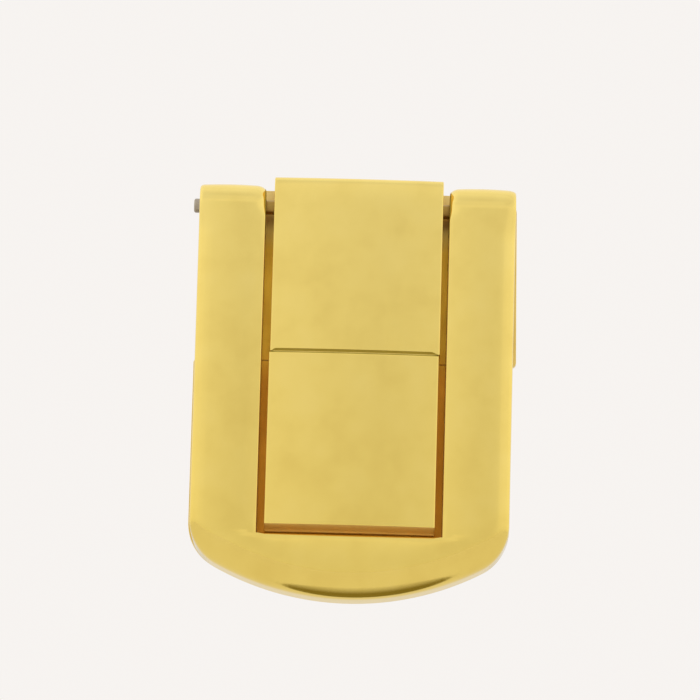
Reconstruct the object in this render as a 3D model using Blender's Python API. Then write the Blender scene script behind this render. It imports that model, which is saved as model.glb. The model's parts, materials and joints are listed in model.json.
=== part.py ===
"""A swing-over catch for a small box or case, in two halves that meet at a parting line.

The lid half carries a raised block and, on a steel hinge pin, a U-shaped drop lever. The body half
carries the second block and a spring clip. Closed, the lever's window frames both blocks, its bottom
bar lies below the body block, and a stud inside the bar sits in the spring clip.

Axes: X runs across the catch, Z up it, and Y from the front (-Y) to the wall that it is screwed to.
The back faces of both plates lie in the plane Y = 0, and the origin is on the body plate's back face.
"""

import math

import bmesh
import bpy
from mathutils import Vector

MM = 0.001

# Heights of the halves. The parting line runs between the two blocks and the two plates.
PARTING_Z = 9.0 * MM
PARTING_GAP = 0.12 * MM

# Plates
PLATE_THICKNESS = 1.0 * MM
LID_PLATE_WIDTH = 33.7 * MM  # at the parting line
LID_PLATE_TOP_WIDTH = 33.2 * MM
LID_PLATE_X = 0.2 * MM
BODY_PLATE_WIDTH = 33.5 * MM
BODY_PLATE_X = -0.06 * MM
PLATE_CORNER = 0.4 * MM
LID_PLATE_TOP = PARTING_Z + 18.3 * MM
LID_PLATE_TOP_CORNER = 1.8 * MM
BODY_PLATE_BOTTOM = PARTING_Z - 25.45 * MM

# Blocks
BLOCK_WIDTH = 17.7 * MM
LID_BLOCK_X = 0.1 * MM
BODY_BLOCK_X = 0.01 * MM
BLOCK_FRONT = -6.15 * MM
BLOCK_BACK = -1.1 * MM
LID_BLOCK_TOP = PARTING_Z + 18.8 * MM
BODY_BLOCK_BOTTOM = PARTING_Z - 18.76 * MM
LID_BLOCK_TOP_ROUND = 0.8 * MM
LID_BLOCK_PARTING_BEVEL = 0.25 * MM
BODY_BLOCK_PARTING_BEVEL = 0.05 * MM
BODY_BLOCK_BOTTOM_ROUND = 0.5 * MM

# Hinge
PIN_RADIUS = 0.75 * MM
PIN_Y = -3.6 * MM
PIN_Z = PARTING_Z + 15.85 * MM
PIN_LEFT = -17.2 * MM
PIN_RIGHT = 16.2 * MM
PIN_END_BEVEL = 0.12 * MM
BORE_CLEARANCE = 0.08 * MM
KNUCKLE_RADIUS = 2.35 * MM

# Lever: a cast shell, open at the back, with a window that is open at the top between two arms
LEVER_WIDTH = 33.2 * MM
LEVER_FRONT = PIN_Y - KNUCKLE_RADIUS
LEVER_RIM_BACK = -1.15 * MM
LEVER_BOTTOM = PARTING_Z - 25.7 * MM
LEVER_CORNER = 5.0 * MM
LEVER_BOTTOM_ARC = 29.5 * MM
LEVER_WALL = 1.1 * MM
WINDOW_WIDTH = 19.3 * MM
WINDOW_BOTTOM = PARTING_Z - 19.5 * MM
WINDOW_RIM = 0.7 * MM  # the wall that runs back from the window's edge, all the way to the rim's back
WINDOW_RIM_RECESS = 0.05 * MM
SIDE_EDGE_ROUND = 0.9 * MM
BOTTOM_EDGE_ROUND = 2.3 * MM
KNUCKLE_OUTER_DROP = 0.45 * MM
KNUCKLE_INNER_ROUND = 1.0 * MM
KNUCKLE_INNER_DROP = 0.55 * MM
KNUCKLE_RELIEF = 0.04 * MM  # keeps the flat behind each knuckle just in front of the knuckle's own back
POCKET_TOP = PIN_Z - 2.8 * MM
POCKET_SIDE_ROUND = 0.2 * MM

# Rivets that hold the blocks, flush with the plates' back faces
RIVET_RADIUS = 1.0 * MM
RIVET_TAIL_RADIUS = 1.6 * MM
RIVET_TAIL_DEPTH = 0.6 * MM
RIVET_END_Y = -3.2 * MM
RIVET_X = 5.0 * MM
LID_RIVET_Z = PARTING_Z + 8.0 * MM
BODY_RIVET_Z = PARTING_Z - 9.0 * MM
HOLE_CLEARANCE = 0.1 * MM
FLUSH_RECESS = 0.05 * MM

# Countersunk wood screws in the plates' wings, hidden under the lever's arms
SCREW_X = 12.5 * MM
SCREW_LEVELS = ("inner", "outer")  # nearer to the parting line, and farther from it
LID_SCREW_Z = (PARTING_Z + 4.0 * MM, PARTING_Z + 11.0 * MM)
BODY_SCREW_Z = (PARTING_Z - 5.0 * MM, PARTING_Z - 14.0 * MM)
SCREW_RADIUS = 1.0 * MM
SCREW_HEAD_RADIUS = 1.9 * MM
SCREW_HEAD_RIM = 0.12 * MM
SCREW_CONE_END = -0.1 * MM
SCREW_TIP_START = 5.6 * MM
SCREW_TIP = 7.4 * MM
SCREW_TIP_RADIUS = 0.1 * MM
SLOT_WIDTH = 0.45 * MM
SLOT_DEPTH = 0.4 * MM

# Snap: a stud inside the lever's bottom bar, and a two-pronged clip on the body plate
SNAP_Z = PARTING_Z - 22.1 * MM
STUD_FLANGE_RADIUS = 1.6 * MM
STUD_FLANGE_THICKNESS = 0.4 * MM
STUD_NECK_RADIUS = 0.65 * MM
STUD_BULB_RADIUS = 1.05 * MM
STUD_NECK_END = -2.85 * MM
STUD_BULB_LENGTH = 0.9 * MM
STUD_SWELL_START = 0.22  # the bulb's outline follows a sine, from this share of its half turn
STUD_SWELL_LENGTH = 0.68  # and over this share
CLIP_SHEET = 0.25 * MM
CLIP_LENGTH = 2.4 * MM
CLIP_HALF_WIDTH = 1.7 * MM
CLIP_GRIP_X = 1.4 * MM
CLIP_BULGE = 0.05 * MM  # how far the prongs stand out between base and grip, and at their lips
CLIP_FLARE = 0.1 * MM
CLIP_BEND, CLIP_BULGE_AT, CLIP_GRIP_AT = 0.30, 0.45, 0.72  # shares of the prongs' length from the base
CLIP_BACK = -1.1 * MM
CLIP_TOP = -3.5 * MM
CLIP_RIVET_RADIUS = 0.6 * MM
CLIP_RIVET_HEAD_RADIUS = 1.1 * MM
CLIP_RIVET_HEAD_HEIGHT = 0.3 * MM
CLIP_RIVET_CROWN_RADIUS = 0.77 * MM
CLIP_RIVET_CROWN_HEIGHT = 0.12 * MM
CLIP_RIVET_TAIL_RADIUS = 1.0 * MM
CLIP_RIVET_TAIL_DEPTH = 0.5 * MM

# Cutters reach this far beyond a face so that they leave no skin on it
OVERSHOOT = 0.5 * MM

# Facets
ROUND_SEGMENTS = 32
CORNER_STEPS = 10
BOTTOM_STEPS = 20
EDGE_STEPS = 6

PLATED_BRASS = ("plated_brass", (0.79, 0.59, 0.16), 0.16, 1.0)
BACK_BRASS = ("plated_brass_plate", (0.74, 0.55, 0.16), 0.28, 1.0)
PIN_STEEL = ("pin_steel", (0.42, 0.38, 0.32), 0.32, 1.0)
SPRING_STEEL = ("spring_steel", (0.50, 0.49, 0.47), 0.30, 1.0)
SCREW_BRASS = ("screw_brass", (0.72, 0.53, 0.20), 0.25, 1.0)


def remove_everything():
    for item in list(bpy.data.objects):
        bpy.data.objects.remove(item, do_unlink=True)


def material_of(look):
    """The Principled material of a look, made the first time that it is asked for."""
    name, colour, roughness, metallic = look
    if name in bpy.data.materials:
        return bpy.data.materials[name]
    material = bpy.data.materials.new(name)
    material.use_nodes = True
    shader = material.node_tree.nodes["Principled BSDF"]
    shader.inputs["Base Color"].default_value = (*colour, 1.0)
    shader.inputs["Roughness"].default_value = roughness
    shader.inputs["Metallic"].default_value = metallic
    return material


def add_object(name, mesh_data, look=None, origin=(0.0, 0.0, 0.0)):
    """Links a bmesh, drawn in world space, as an object with its origin at a point."""
    bmesh.ops.recalc_face_normals(mesh_data, faces=mesh_data.faces[:])
    bmesh.ops.translate(mesh_data, verts=mesh_data.verts[:], vec=-Vector(origin))
    mesh = bpy.data.meshes.new(name)
    mesh_data.to_mesh(mesh)
    mesh_data.free()
    mesh.shade_smooth()
    mesh.set_sharp_from_angle(angle=math.radians(30))
    added = bpy.data.objects.new(name, mesh)
    added.location = origin
    bpy.context.scene.collection.objects.link(added)
    if look:
        mesh.materials.append(material_of(look))
    return added


def loft(rings):
    """A closed solid from rings with the same number of points, capped by the first and the last."""
    solid = bmesh.new()
    rows = [[solid.verts.new(point) for point in ring] for ring in rings]
    count = len(rows[0])
    for near, far in zip(rows, rows[1:]):
        for i in range(count):
            j = (i + 1) % count
            solid.faces.new((near[i], near[j], far[j], far[i]))
    solid.faces.new(rows[0])
    solid.faces.new(reversed(rows[-1]))
    return solid


def prism(outline, start, end, direction="Y"):
    """A solid between two planes, from an outline of (x, z) points, or of (y, z) or (x, y) points."""
    place = {
        "Y": lambda point, along: (point[0], along, point[1]),
        "X": lambda point, along: (along, point[0], point[1]),
        "Z": lambda point, along: (point[0], point[1], along),
    }[direction]
    return loft([[place(point, along) for point in outline] for along in (start, end)])


def turned(profile, centre, direction):
    """A solid turned about a line along X or Y, from (distance along it, radius) points off the axis."""
    rings = []
    for along, radius in profile:
        ring = []
        for step in range(ROUND_SEGMENTS):
            angle = 2 * math.pi * step / ROUND_SEGMENTS
            first, second = radius * math.cos(angle), radius * math.sin(angle)
            if direction == "Y":
                ring.append((centre[0] + first, along, centre[1] + second))
            else:
                ring.append((along, centre[0] + first, centre[1] + second))
        rings.append(ring)
    return loft(rings)


def rectangle(left, right, bottom, top):
    return [(left, bottom), (right, bottom), (right, top), (left, top)]


def cut(target, name, mesh_data):
    """Takes a shape away from an object."""
    cutter = add_object(name, mesh_data)
    cutter.hide_render = True
    cutter.display_type = "WIRE"
    modifier = target.modifiers.new(name, "BOOLEAN")
    modifier.operation = "DIFFERENCE"
    modifier.solver = "EXACT"
    modifier.object = cutter


def join(target, name, mesh_data):
    """Adds a shape to an object, as one body."""
    addition = add_object(name, mesh_data)
    addition.hide_render = True
    addition.display_type = "WIRE"
    modifier = target.modifiers.new(name, "BOOLEAN")
    modifier.operation = "UNION"
    modifier.solver = "EXACT"
    modifier.object = addition


def arc(centre, radius, start_degrees, end_degrees, steps):
    """Points along an arc in a plane, both ends included."""
    points = []
    for step in range(steps + 1):
        angle = math.radians(start_degrees + (end_degrees - start_degrees) * step / steps)
        points.append((centre[0] + radius * math.cos(angle), centre[1] + radius * math.sin(angle)))
    return points


def rounded_end(width, bottom, corner, bottom_arc):
    """The catch's lower outline as (x, z, outward x, outward z), from the right side round to the left.

    Two corner arcs join the straight sides to one wide arc at the bottom, each tangent to the next.
    """
    corner_x = width / 2 - corner
    rise = math.sqrt((bottom_arc - corner) ** 2 - corner_x**2)
    arc_z = bottom + bottom_arc
    corner_z = arc_z - rise
    turn = math.degrees(math.atan2(rise, corner_x))
    right = arc((corner_x, corner_z), corner, 0, -turn, CORNER_STEPS)
    middle = arc((0, arc_z), bottom_arc, -turn, turn - 180, BOTTOM_STEPS)
    left = arc((-corner_x, corner_z), corner, turn - 180, -180, CORNER_STEPS)
    centres = [(corner_x, corner_z)] * len(right) + [(0, arc_z)] * (len(middle) - 2)
    centres += [(-corner_x, corner_z)] * len(left)
    outline = []
    for (x, z), (centre_x, centre_z) in zip(right + middle[1:-1] + left, centres):
        length = math.hypot(x - centre_x, z - centre_z)
        outline.append((x, z, (x - centre_x) / length, (z - centre_z) / length))
    return outline


def edge_round(outward_z, side_round, bottom_round):
    """How far the lever's front edge rounds over, more at the bottom than at the sides."""
    share = max(0.0, -outward_z)
    share = share * share * (3 - 2 * share)
    return side_round + (bottom_round - side_round) * share


def shell_rings(width, bottom, corner, bottom_arc, top, front, back, side_round, bottom_round):
    """Rings of a flat-faced pan from its back edge to its face, with a rounded edge and a flat top end."""
    outline = rounded_end(width, bottom, corner, bottom_arc)
    outline = [(width / 2, top, 1.0, 0.0)] + outline + [(-width / 2, top, -1.0, 0.0)]
    rings = [[(x, back, z) for x, z, _, _ in outline]]
    for step in range(EDGE_STEPS + 1):
        angle = math.pi / 2 * step / EDGE_STEPS
        ring = []
        for x, z, outward_x, outward_z in outline:
            radius = edge_round(outward_z, side_round, bottom_round)
            inset, depth = radius * (1 - math.cos(angle)), radius * (1 - math.sin(angle))
            ring.append((x - outward_x * inset, front + depth, z - outward_z * inset))
        rings.append(ring)
    return rings


def countersunk_hole(target, name, x, z, hole):
    """Cuts a hole through a plate from (y, radius) points that reach past both of its faces."""
    cut(target, name, turned(hole, (x, z), "Y"))


def screw_hole():
    """A screw's hole: a cone open to the front, then a plain bore."""
    clearance = HOLE_CLEARANCE
    return [
        (-PLATE_THICKNESS - OVERSHOOT, SCREW_HEAD_RADIUS + clearance),
        (-PLATE_THICKNESS + SCREW_HEAD_RIM + FLUSH_RECESS, SCREW_HEAD_RADIUS + clearance),
        (SCREW_CONE_END, SCREW_RADIUS + clearance),
        (OVERSHOOT, SCREW_RADIUS + clearance),
    ]


def rivet_hole(radius, tail_radius, tail_depth, front_end):
    """A rivet's hole: a plain bore, then a cone open to the back."""
    clearance = HOLE_CLEARANCE
    return [
        (front_end, radius + clearance),
        (-tail_depth - FLUSH_RECESS, radius + clearance),
        (-FLUSH_RECESS, tail_radius + clearance),
        (OVERSHOOT, tail_radius + clearance),
    ]


def block_rivet_hole():
    return rivet_hole(RIVET_RADIUS, RIVET_TAIL_RADIUS, RIVET_TAIL_DEPTH, -2 * PLATE_THICKNESS)


def screw(name, x, z):
    """A countersunk wood screw, head flush with the plate's front and a driver slot across it."""
    top = -PLATE_THICKNESS + FLUSH_RECESS
    profile = [
        (top, SCREW_HEAD_RADIUS),
        (top + SCREW_HEAD_RIM, SCREW_HEAD_RADIUS),
        (SCREW_CONE_END, SCREW_RADIUS),
        (SCREW_TIP_START, SCREW_RADIUS),
        (SCREW_TIP, SCREW_TIP_RADIUS),
    ]
    made = add_object(name, turned(profile, (x, z), "Y"), SCREW_BRASS, (x, top, z))
    reach, half_slot = SCREW_HEAD_RADIUS + OVERSHOOT, SLOT_WIDTH / 2
    slot = rectangle(x - reach, x + reach, z - half_slot, z + half_slot)
    cut(made, name + "_slot", prism(slot, top - OVERSHOOT, top + SLOT_DEPTH))


def block_rivet(name, x, z):
    """A rivet from the plate's back face into a block."""
    profile = [
        (RIVET_END_Y, RIVET_RADIUS),
        (-RIVET_TAIL_DEPTH - FLUSH_RECESS, RIVET_RADIUS),
        (-FLUSH_RECESS, RIVET_TAIL_RADIUS),
    ]
    add_object(name, turned(profile, (x, z), "Y"), BACK_BRASS, (x, 0, z))


def block_section(top, bottom, round_top, round_bottom):
    """A block's section as (y, z) points: flat at the back, its front corners rounded by these radii."""
    upper = arc((BLOCK_FRONT + round_top, top - round_top), round_top, 90, 180, EDGE_STEPS)
    lower = arc((BLOCK_FRONT + round_bottom, bottom + round_bottom), round_bottom, 180, 270, EDGE_STEPS)
    return [(BLOCK_BACK, top), *upper, *lower, (BLOCK_BACK, bottom)]


def block(name, section, centre_x, rivet_z):
    left, right = centre_x - BLOCK_WIDTH / 2, centre_x + BLOCK_WIDTH / 2
    made = add_object(name, prism(section, left, right, "X"), PLATED_BRASS)
    bore_radius = RIVET_RADIUS + HOLE_CLEARANCE
    for side, x in (("left", -RIVET_X), ("right", RIVET_X)):
        bore = [(RIVET_END_Y - HOLE_CLEARANCE, bore_radius), (0, bore_radius)]
        cut(made, f"{name}_bore_{side}", turned(bore, (x, rivet_z), "Y"))
    return made


def lid_block():
    parting = PARTING_Z + PARTING_GAP / 2
    section = block_section(LID_BLOCK_TOP, parting, LID_BLOCK_TOP_ROUND, LID_BLOCK_PARTING_BEVEL)
    made = block("lid_block", section, LID_BLOCK_X, LID_RIVET_Z)
    bore = [(-BLOCK_WIDTH, PIN_RADIUS + BORE_CLEARANCE), (BLOCK_WIDTH, PIN_RADIUS + BORE_CLEARANCE)]
    cut(made, "lid_block_pin_bore", turned(bore, (PIN_Y, PIN_Z), "X"))


def body_block():
    parting = PARTING_Z - PARTING_GAP / 2
    section = block_section(parting, BODY_BLOCK_BOTTOM, BODY_BLOCK_PARTING_BEVEL, BODY_BLOCK_BOTTOM_ROUND)
    block("body_block", section, BODY_BLOCK_X, BODY_RIVET_Z)


def lid_plate():
    """The lid half's plate: narrower and with wide corners at the top, tight ones at the parting line."""
    half, top_half = LID_PLATE_WIDTH / 2, LID_PLATE_TOP_WIDTH / 2
    bottom, corner = PARTING_Z + PARTING_GAP / 2, LID_PLATE_TOP_CORNER
    corner_z = LID_PLATE_TOP - corner
    outline = arc((top_half - corner, corner_z), corner, 0, 90, CORNER_STEPS)
    outline += arc((corner - top_half, corner_z), corner, 90, 180, CORNER_STEPS)
    outline += arc((PLATE_CORNER - half, bottom + PLATE_CORNER), PLATE_CORNER, 180, 270, EDGE_STEPS)
    outline += arc((half - PLATE_CORNER, bottom + PLATE_CORNER), PLATE_CORNER, 270, 360, EDGE_STEPS)
    outline = [(x + LID_PLATE_X, z) for x, z in outline]
    made = add_object("lid_plate", prism(outline, -PLATE_THICKNESS, 0), BACK_BRASS)
    for side, sign in (("left", -1), ("right", 1)):
        countersunk_hole(made, f"lid_rivet_hole_{side}", sign * RIVET_X, LID_RIVET_Z, block_rivet_hole())
        for level, z in zip(SCREW_LEVELS, LID_SCREW_Z):
            countersunk_hole(made, f"lid_screw_hole_{level}_{side}", sign * SCREW_X, z, screw_hole())


def body_plate():
    """The body half's plate: square at the parting line, with the lever's own rounded end at the bottom."""
    half = BODY_PLATE_WIDTH / 2
    top = PARTING_Z - PARTING_GAP / 2
    end = rounded_end(BODY_PLATE_WIDTH, BODY_PLATE_BOTTOM, LEVER_CORNER, LEVER_BOTTOM_ARC)
    outline = [(x, z) for x, z, _, _ in end]
    outline += arc((PLATE_CORNER - half, top - PLATE_CORNER), PLATE_CORNER, 180, 90, EDGE_STEPS)
    outline += arc((half - PLATE_CORNER, top - PLATE_CORNER), PLATE_CORNER, 90, 0, EDGE_STEPS)
    outline = [(x + BODY_PLATE_X, z) for x, z in outline]
    made = add_object("body_plate", prism(outline, -PLATE_THICKNESS, 0), BACK_BRASS)
    for side, sign in (("left", -1), ("right", 1)):
        countersunk_hole(made, f"body_rivet_hole_{side}", sign * RIVET_X, BODY_RIVET_Z, block_rivet_hole())
        for level, z in zip(SCREW_LEVELS, BODY_SCREW_Z):
            countersunk_hole(made, f"body_screw_hole_{level}_{side}", sign * SCREW_X, z, screw_hole())
    hole = rivet_hole(CLIP_RIVET_RADIUS, CLIP_RIVET_TAIL_RADIUS, CLIP_RIVET_TAIL_DEPTH, -2 * PLATE_THICKNESS)
    countersunk_hole(made, "clip_rivet_hole", 0, SNAP_Z, hole)


def hinge_pin():
    profile = [
        (PIN_LEFT, PIN_RADIUS - PIN_END_BEVEL),
        (PIN_LEFT + PIN_END_BEVEL, PIN_RADIUS),
        (PIN_RIGHT - PIN_END_BEVEL, PIN_RADIUS),
        (PIN_RIGHT, PIN_RADIUS - PIN_END_BEVEL),
    ]
    add_object("hinge_pin", turned(profile, (PIN_Y, PIN_Z), "X"), PIN_STEEL, (0, PIN_Y, PIN_Z))


def knuckle_profile(side):
    """A knuckle from the window's edge out to the lever's side, both of its ends rounded over."""
    inner = WINDOW_WIDTH / 2
    outer = LEVER_WIDTH / 2
    inner_end = []
    outer_end = []
    for step in range(EDGE_STEPS + 1):
        angle = math.pi / 2 * step / EDGE_STEPS
        reach, drop = 1 - math.sin(angle), 1 - math.cos(angle)
        inner_x, outer_x = inner + KNUCKLE_INNER_ROUND * reach, outer - SIDE_EDGE_ROUND * reach
        inner_end.append((side * inner_x, KNUCKLE_RADIUS - KNUCKLE_INNER_DROP * drop))
        outer_end.append((side * outer_x, KNUCKLE_RADIUS - KNUCKLE_OUTER_DROP * drop))
    return inner_end[::-1] + outer_end


def lever():
    """The drop lever, with its origin on the hinge axis."""
    outside = shell_rings(LEVER_WIDTH, LEVER_BOTTOM, LEVER_CORNER, LEVER_BOTTOM_ARC, PIN_Z,
                          LEVER_FRONT, LEVER_RIM_BACK, SIDE_EDGE_ROUND, BOTTOM_EDGE_ROUND)
    made = add_object("lever", loft(outside), PLATED_BRASS, (0, PIN_Y, PIN_Z))
    inside = shell_rings(LEVER_WIDTH - 2 * LEVER_WALL, LEVER_BOTTOM + LEVER_WALL, LEVER_CORNER - LEVER_WALL,
                         LEVER_BOTTOM_ARC - LEVER_WALL, POCKET_TOP, LEVER_FRONT + LEVER_WALL, OVERSHOOT,
                         POCKET_SIDE_ROUND, BOTTOM_EDGE_ROUND - LEVER_WALL)
    cut(made, "lever_pocket", loft(inside))
    half_window, above = WINDOW_WIDTH / 2, 2 * PIN_Z
    half_rim, rim_bottom = half_window + WINDOW_RIM, WINDOW_BOTTOM - WINDOW_RIM
    rim_front, rim_back = LEVER_FRONT + LEVER_WALL / 2, LEVER_RIM_BACK - WINDOW_RIM_RECESS
    rim = rectangle(-half_rim, half_rim, rim_bottom, PIN_Z - OVERSHOOT)
    join(made, "lever_window_rim", prism(rim, rim_front, rim_back))
    window = rectangle(-half_window, half_window, WINDOW_BOTTOM, above)
    cut(made, "lever_window", prism(window, 2 * LEVER_FRONT, OVERSHOOT))
    relief = rectangle(-LEVER_WIDTH, LEVER_WIDTH, POCKET_TOP, above)
    relief_front = PIN_Y + KNUCKLE_RADIUS - KNUCKLE_RELIEF
    cut(made, "lever_knuckle_relief", prism(relief, relief_front, OVERSHOOT))
    for side, sign in (("left", -1), ("right", 1)):
        join(made, f"lever_knuckle_{side}", turned(knuckle_profile(sign), (PIN_Y, PIN_Z), "X"))
    bore = [(-LEVER_WIDTH, PIN_RADIUS + BORE_CLEARANCE), (LEVER_WIDTH, PIN_RADIUS + BORE_CLEARANCE)]
    cut(made, "lever_bore", turned(bore, (PIN_Y, PIN_Z), "X"))


def snap_stud():
    """The stud under the lever's bottom bar: flange, neck and a bulb that the clip holds."""
    flange_front = LEVER_FRONT + LEVER_WALL + FLUSH_RECESS
    flange_back = flange_front + STUD_FLANGE_THICKNESS
    profile = [(flange_front, STUD_FLANGE_RADIUS), (flange_back, STUD_FLANGE_RADIUS),
               (flange_back, STUD_NECK_RADIUS), (STUD_NECK_END, STUD_NECK_RADIUS)]
    for step in range(1, EDGE_STEPS * 2):
        share = step / (EDGE_STEPS * 2)
        swell = math.sin(math.pi * (STUD_SWELL_START + STUD_SWELL_LENGTH * share))
        profile.append((STUD_NECK_END + STUD_BULB_LENGTH * share, STUD_BULB_RADIUS * swell))
    add_object("snap_stud", turned(profile, (0, SNAP_Z), "Y"), SPRING_STEEL, (0, PIN_Y, PIN_Z))


def clip_section():
    """The clip's section as (x, y) points: a U of spring sheet with its prongs waisted at the grip."""
    back, sheet, half = CLIP_BACK, CLIP_SHEET, CLIP_HALF_WIDTH
    depth = back - CLIP_TOP
    centreline = [(half, back - CLIP_BEND * depth), (half + CLIP_BULGE, back - CLIP_BULGE_AT * depth),
                  (CLIP_GRIP_X, back - CLIP_GRIP_AT * depth), (half + CLIP_FLARE, back - depth)]
    outer = [(half + sheet / 2, back)] + [(x + sheet / 2, y) for x, y in centreline]
    inner = [(x - sheet / 2, y) for x, y in reversed(centreline)] + [(half - sheet / 2, back - sheet)]
    right = outer + inner
    left = [(-x, y) for x, y in reversed(right)]
    return right + left


def spring_clip():
    section = clip_section()
    made = prism(section, SNAP_Z - CLIP_LENGTH / 2, SNAP_Z + CLIP_LENGTH / 2, "Z")
    clip = add_object("spring_clip", made, SPRING_STEEL, (0, CLIP_BACK, SNAP_Z))
    hole_radius = CLIP_RIVET_RADIUS + HOLE_CLEARANCE
    cut(clip, "spring_clip_hole", turned([(2 * CLIP_BACK, hole_radius), (0, hole_radius)], (0, SNAP_Z), "Y"))


def clip_rivet():
    head_back = CLIP_BACK - CLIP_SHEET - FLUSH_RECESS
    head_front = head_back - CLIP_RIVET_HEAD_HEIGHT
    profile = [
        (head_front, CLIP_RIVET_CROWN_RADIUS),
        (head_front + CLIP_RIVET_CROWN_HEIGHT, CLIP_RIVET_HEAD_RADIUS),
        (head_back, CLIP_RIVET_HEAD_RADIUS),
        (head_back, CLIP_RIVET_RADIUS),
        (-CLIP_RIVET_TAIL_DEPTH - FLUSH_RECESS, CLIP_RIVET_RADIUS),
        (-FLUSH_RECESS, CLIP_RIVET_TAIL_RADIUS),
    ]
    add_object("clip_rivet", turned(profile, (0, SNAP_Z), "Y"), BACK_BRASS, (0, 0, SNAP_Z))


def fasteners():
    for side, sign in (("left", -1), ("right", 1)):
        block_rivet(f"lid_rivet_{side}", sign * RIVET_X, LID_RIVET_Z)
        block_rivet(f"body_rivet_{side}", sign * RIVET_X, BODY_RIVET_Z)
        for level, lid_z, body_z in zip(SCREW_LEVELS, LID_SCREW_Z, BODY_SCREW_Z):
            screw(f"lid_screw_{level}_{side}", sign * SCREW_X, lid_z)
            screw(f"body_screw_{level}_{side}", sign * SCREW_X, body_z)


def build():
    remove_everything()
    lid_plate()
    lid_block()
    hinge_pin()
    lever()
    snap_stud()
    body_plate()
    body_block()
    spring_clip()
    clip_rivet()
    fasteners()


build()
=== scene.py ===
"""The looks of a small polished brass swing-over box catch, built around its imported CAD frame.

X runs across the catch, Y from its front (-Y) to the wall behind it, Z up. Everything is in metres.
"""

import json
import math

import bmesh
import bpy
from mathutils import Matrix, Vector


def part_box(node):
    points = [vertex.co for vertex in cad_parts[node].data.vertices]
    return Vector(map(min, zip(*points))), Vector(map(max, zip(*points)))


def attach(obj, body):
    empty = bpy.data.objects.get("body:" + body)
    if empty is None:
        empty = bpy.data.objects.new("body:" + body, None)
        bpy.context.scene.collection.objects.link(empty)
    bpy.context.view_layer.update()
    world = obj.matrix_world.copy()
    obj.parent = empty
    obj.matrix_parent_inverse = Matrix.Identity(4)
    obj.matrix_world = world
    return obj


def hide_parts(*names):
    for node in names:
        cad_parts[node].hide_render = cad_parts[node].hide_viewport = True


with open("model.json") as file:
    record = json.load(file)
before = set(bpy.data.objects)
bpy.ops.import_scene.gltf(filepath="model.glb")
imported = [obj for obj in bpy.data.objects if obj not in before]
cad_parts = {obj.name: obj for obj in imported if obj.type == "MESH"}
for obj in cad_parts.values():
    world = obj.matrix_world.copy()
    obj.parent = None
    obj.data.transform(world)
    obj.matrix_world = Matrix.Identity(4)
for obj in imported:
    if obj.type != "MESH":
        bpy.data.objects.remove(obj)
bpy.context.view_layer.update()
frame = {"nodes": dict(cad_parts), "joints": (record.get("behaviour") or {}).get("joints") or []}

MM = 0.001
SHARP_DEGREES = 32.0  # faces that meet at more than this keep a sharp edge

# Bodies and finishes, by the record's names
HALVES = "halves"
DROP_LEVER = "drop_lever"
POLISHED = "polished_brass"
PLATE_BRASS = "plate_brass"
SCREW_BRASS = "screw_brass"
PIN_STEEL = "pin_steel"
SPRING_STEEL = "spring_steel"
UNBUFFED_BOUNCE_LIT = "unbuffed_bounce_lit_brass"  # rougher brass where the wheel did not reach, whose warm yellow-orange colour is a painted bounce light in the gaps
PAINTED_SHADE = "painted_shade_brass"  # a dark painted shade in the groove at the parting line and beside the pin
POLISHED_FACE, UNBUFFED_BOUNCE_LIT_FACE, PAINTED_SHADE_FACE = range(3)

# Places read from the frame
HINGE = Vector(frame["joints"][0]["pos_m"])
LEVER_LOW, LEVER_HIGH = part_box("lever")
LID_BLOCK_LOW, LID_BLOCK_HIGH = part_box("lid_block")
BODY_BLOCK_LOW, BODY_BLOCK_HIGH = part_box("body_block")
LID_PLATE_LOW, LID_PLATE_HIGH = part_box("lid_plate")
BODY_PLATE_LOW, BODY_PLATE_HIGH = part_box("body_plate")
PIN_LOW, PIN_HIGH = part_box("hinge_pin")
STUD_LOW, STUD_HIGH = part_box("snap_stud")
CLIP_LOW, CLIP_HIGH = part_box("spring_clip")
PARTING_Z = (LID_BLOCK_LOW.z + BODY_BLOCK_HIGH.z) / 2
SEAM = 0.05 * MM  # the two halves close to this hair's breadth
LID_BLOCK_LOW.z = LID_PLATE_LOW.z = PARTING_Z + SEAM / 2
BODY_BLOCK_HIGH.z = BODY_PLATE_HIGH.z = PARTING_Z - SEAM / 2

# Lever
LEVER_HALF_WIDTH = (LEVER_HIGH.x - LEVER_LOW.x) / 2
LEVER_FRONT = LEVER_LOW.y
RIM_BACK = LEVER_HIGH.y
KNUCKLE_RADIUS = HINGE.y - LEVER_FRONT
KNUCKLE_BACK = HINGE.y + KNUCKLE_RADIUS
WINDOW_HALF_WIDTH = 9.65 * MM
WINDOW_BOTTOM = PARTING_Z - 19.2 * MM
WINDOW_RIM = 0.7 * MM
LEVER_CORNER = 5.0 * MM
LEVER_BOTTOM_ARC = 29.5 * MM
LEVER_WALL = 1.1 * MM
LEVER_CROWN = 0.12 * MM
SIDE_ROUND = (1.5 * MM, 0.9 * MM)  # the rounding's width across the face and its depth
BOTTOM_ROUND = (3.0 * MM, 2.3 * MM)
SIDE_SQUARENESS = 2.6  # the power of the roundings' curve: 2 is an ellipse, and more is squarer
BOTTOM_SQUARENESS = 2.3
INNER_ROUND = 0.4 * MM
WINDOW_BEVEL = (0.10 * MM, 0.10 * MM)
WINDOW_BOTTOM_BEVEL = (0.50 * MM, 0.35 * MM)
WINDOW_BOTTOM_BLEND = 1.0 * MM  # the length over which the side's bevel turns into the bottom's
KNUCKLE_INNER_ROUND = (1.0 * MM, 0.55 * MM)
KNUCKLE_LEFT_ROUND = (0.5 * MM, 0.4 * MM)
KNUCKLE_RIGHT_ROUND = (1.1 * MM, 0.35 * MM)
KNUCKLE_RIGHT_RISE = 0.22 * MM  # how much higher the right knuckle was cast
KNUCKLE_INNER_BLEND = 1.6 * MM  # the height over which an arm's edges turn into its knuckle's
KNUCKLE_OUTER_BLEND = 3.2 * MM
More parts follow.
